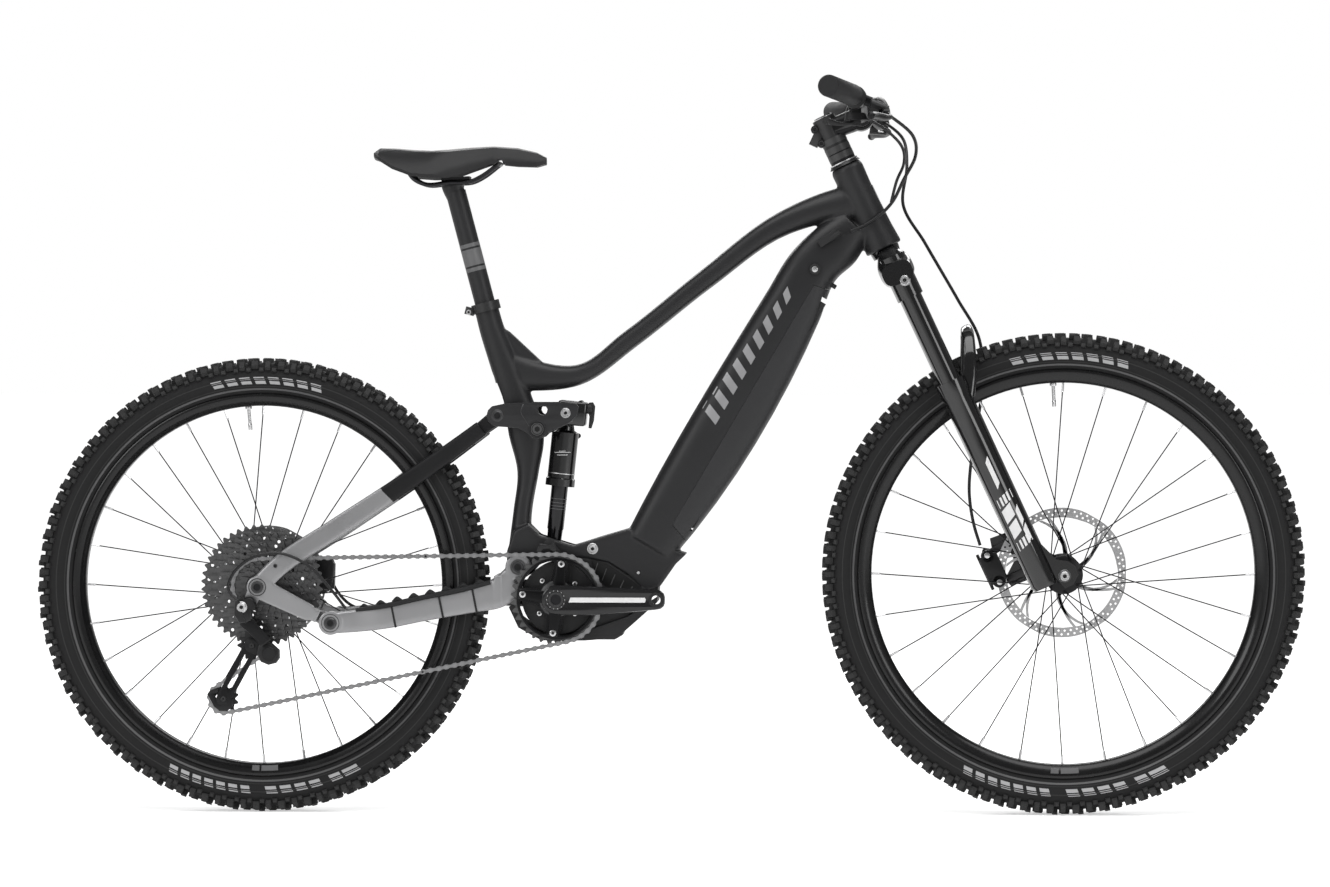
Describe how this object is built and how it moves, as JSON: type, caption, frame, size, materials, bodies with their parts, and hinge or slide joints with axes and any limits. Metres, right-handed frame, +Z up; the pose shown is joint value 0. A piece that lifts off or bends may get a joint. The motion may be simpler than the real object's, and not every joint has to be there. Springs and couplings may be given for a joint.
{
  "type": "mountain bike",
  "caption": "Full-suspension electric mountain bike with telescopic fork, four-bar rear suspension, hub-to-hub chain drive, disc brakes and a battery in the down tube.",
  "frame": {"origin": "on the ground, in the bike's mid-plane, midway between the front and rear edges of the tyres", "axes": "+X forward, +Y to the bike's left (the chain side is -Y), +Z up"},
  "size_m": [1.9766, 0.7806, 1.1278],
  "materials": {
    "frame_paint": "matte black powder coat",
    "stay_paint": "light grey metallic paint",
    "battery_shell": "dark grey moulded shell",
    "black_plastic": "black moulded plastic",
    "gloss_black": "gloss black",
    "black_alloy": "black anodised",
    "dark_steel": "dark steel",
    "steel": "bright steel",
    "tyre_rubber": "knobbly black rubber",
    "rubber": "soft black rubber",
    "saddle_cover": "smooth synthetic cover"
  },
  "bodies": {
    "frame": {"main_frame": "frame_paint", "motor": "black_plastic", "motor_cover": "black_plastic", "headset_stack": "black_alloy", "seat_clamp": "frame_paint", "main_pivot_axle": "dark_steel", "rocker_axle": "dark_steel", "chain": "steel"},
    "battery": {"battery_pack": "black_plastic", "battery_cover": "battery_shell"},
    "steering": {"fork_upper": "gloss_black", "stem": "black_alloy", "handlebar": "frame_paint", "grip_right": "rubber", "grip_left": "rubber", "brake_body_right": "black_alloy", "brake_body_left": "black_alloy", "shifter_body": "black_plastic", "remote": "black_plastic", "control_hoses": "rubber", "front_brake_hose": "rubber"},
    "remote_button": {"remote_button": "rubber"},
    "fork_lower": {"fork_lowers": "gloss_black", "front_axle": "dark_steel", "front_caliper": "black_alloy"},
    "front_wheel": {"front_tyre": "tyre_rubber", "front_rim": "black_alloy", "front_spokes": "dark_steel", "front_hub": "black_alloy", "front_rotor": "steel"},
    "crankset": {"chainring": "dark_steel", "crank_arm_right": "gloss_black", "crank_arm_left": "gloss_black"},
    "chainstay": {"chainstay": "stay_paint"},
    "seatstay": {"seatstay": "stay_paint", "rear_axle": "dark_steel", "rear_caliper": "black_alloy", "derailleur_body": "black_alloy"},
    "rocker": {"rocker_link": "frame_paint"},
    "shock_shaft": {"shock_shaft": "steel"},
    "shock_can": {"shock_can": "gloss_black"},
    "shock_lever": {"shock_lever": "black_alloy"},
    "rear_wheel": {"rear_tyre": "tyre_rubber", "rear_rim": "black_alloy", "rear_spokes": "dark_steel", "rear_hub": "black_alloy", "rear_rotor": "steel"},
    "cassette": {"cassette": "steel", "freehub": "black_alloy"},
    "derailleur_link": {"derailleur_link": "black_alloy"},
    "derailleur_knuckle": {"derailleur_knuckle": "black_alloy"},
    "derailleur_cage": {"derailleur_cage": "black_alloy"},
    "pulley_upper": {"pulley_upper": "black_plastic"},
    "pulley_lower": {"pulley_lower": "black_plastic"},
    "seatpost": {"seatpost": "frame_paint"},
    "saddle": {"saddle": "saddle_cover", "saddle_rails": "dark_steel"},
    "brake_lever_right": {"brake_lever_right": "black_alloy"},
    "brake_lever_left": {"brake_lever_left": "black_alloy"},
    "shift_paddle": {"shift_paddle": "black_plastic"}
  },
  "joints": [
    {"name": "steering_turn", "type": "hinge", "parent": "frame", "child": "steering", "pos_m": [0.2759, 0, 1.0091], "axis": [-0.4226, 0, 0.9063], "range_deg": [-55, 55], "deforming": ["control_hoses"]},
    {"name": "fork_travel", "type": "slide", "parent": "steering", "child": "fork_lower", "axis": [-0.4226, 0, 0.9063], "range_m": [0, 0.14], "deforming": ["front_brake_hose"]},
    {"name": "front_wheel_spin", "type": "hinge", "parent": "fork_lower", "child": "front_wheel", "pos_m": [0.61425, 0, 0.374], "axis": [0, 1, 0], "continuous": true},
    {"name": "chainstay_swing", "type": "hinge", "parent": "frame", "child": "chainstay", "pos_m": [-0.2318, 0, 0.3845], "axis": [0, 1, 0], "range_deg": [0, 21.4], "deforming": ["chain"]},
    {"name": "seatstay_pivot", "type": "hinge", "parent": "chainstay", "child": "seatstay", "pos_m": [-0.5202, 0, 0.299], "axis": [0, 1, 0], "range_deg": [-8.36, 0]},
    {"name": "rocker_swing", "type": "hinge", "parent": "frame", "child": "rocker", "pos_m": [-0.2014, 0, 0.5991], "axis": [0, 1, 0], "range_deg": [0, 65.16]},
    {"name": "shock_tilt", "type": "hinge", "parent": "frame", "child": "shock_shaft", "pos_m": [-0.1793, 0, 0.4153], "axis": [0, 1, 0], "range_deg": [0, 1.2]},
    {"name": "shock_stroke", "type": "slide", "parent": "shock_shaft", "child": "shock_can", "axis": [-0.1043, 0, -0.9945], "range_m": [0, 0.0545]},
    {"name": "shock_lockout", "type": "hinge", "parent": "shock_can", "child": "shock_lever", "pos_m": [-0.16209, 0.026, 0.57934], "axis": [0, 1, 0], "range_deg": [0, 60]},
    {"name": "rear_wheel_spin", "type": "hinge", "parent": "seatstay", "child": "rear_wheel", "pos_m": [-0.63375, 0, 0.3545], "axis": [0, 1, 0], "continuous": true},
    {"name": "crank_spin", "type": "hinge", "parent": "frame", "child": "crankset", "pos_m": [-0.1701, 0, 0.3362], "axis": [0, 1, 0], "continuous": true},
    {"name": "cassette_spin", "type": "hinge", "parent": "seatstay", "child": "cassette", "pos_m": [-0.63375, 0, 0.3545], "axis": [0, 1, 0], "continuous": true},
    {"name": "derailleur_shift", "type": "hinge", "parent": "seatstay", "child": "derailleur_link", "pos_m": [-0.654, -0.086, 0.308], "axis": [0.4927, 0.6656, 0.5606], "range_deg": [-18, 30]},
    {"name": "derailleur_knuckle_pivot", "type": "hinge", "parent": "derailleur_link", "child": "derailleur_knuckle", "pos_m": [-0.618, -0.078, 0.264], "axis": [0.4927, 0.6656, 0.5606], "range_deg": [-30, 18]},
    {"name": "cage_swing", "type": "hinge", "parent": "derailleur_knuckle", "child": "derailleur_cage", "pos_m": [-0.6168, -0.058, 0.2499], "axis": [0, 1, 0], "range_deg": [-38.1, 23]},
    {"name": "pulley_upper_spin", "type": "hinge", "parent": "derailleur_cage", "child": "pulley_upper", "pos_m": [-0.6461, -0.0504, 0.2622], "axis": [0, 1, 0], "continuous": true},
    {"name": "pulley_lower_spin", "type": "hinge", "parent": "derailleur_cage", "child": "pulley_lower", "pos_m": [-0.6907, -0.0504, 0.1789], "axis": [0, 1, 0], "continuous": true},
    {"name": "seatpost_height", "type": "slide", "parent": "frame", "child": "seatpost", "axis": [-0.2554, 0, 0.9668], "range_m": [-0.11, 0.02]},
    {"name": "saddle_slide", "type": "slide", "parent": "seatpost", "child": "saddle", "axis": [0.9982, 0, 0.0599], "range_m": [-0.01, 0.01]},
    {"name": "brake_lever_right_pull", "type": "hinge", "parent": "steering", "child": "brake_lever_right", "pos_m": [0.33597, -0.236, 1.07754], "axis": [0, 0, 1], "range_deg": [0, 14]},
    {"name": "brake_lever_left_pull", "type": "hinge", "parent": "steering", "child": "brake_lever_left", "pos_m": [0.33597, 0.236, 1.07754], "axis": [0, 0, -1], "range_deg": [0, 14]},
    {"name": "shift_paddle_push", "type": "hinge", "parent": "steering", "child": "shift_paddle", "pos_m": [0.29211, -0.196, 1.06369], "axis": [0, 0, 1], "range_deg": [-20, 10]},
    {"name": "remote_button_press", "type": "slide", "parent": "steering", "child": "remote_button", "axis": [0, 0, -1], "range_m": [0, 0.0012]},
    {"name": "battery_tilt", "type": "hinge", "parent": "frame", "child": "battery", "pos_m": [0.03354, 0, 0.41904], "axis": [0, 1, 0], "range_deg": [0, 4]}
  ],
  "couplings": [
    {"joint": "seatstay_pivot", "follows": "chainstay_swing", "ratio": -0.386},
    {"joint": "rocker_swing", "follows": "chainstay_swing", "ratio": 3.04},
    {"joint": "shock_tilt", "follows": "chainstay_swing", "ratio": 0.05},
    {"joint": "shock_stroke", "follows": "chainstay_swing", "m_per_rad": 0.14538},
    {"joint": "cassette_spin", "follows": "crank_spin", "ratio": 1.619},
    {"joint": "pulley_upper_spin", "follows": "crank_spin", "ratio": -3.0909},
    {"joint": "pulley_lower_spin", "follows": "crank_spin", "ratio": 3.0909},
    {"joint": "derailleur_knuckle_pivot", "follows": "derailleur_shift", "ratio": -1},
    {"joint": "cage_swing", "follows": "derailleur_shift", "ratio": -1.2667}
  ]
}
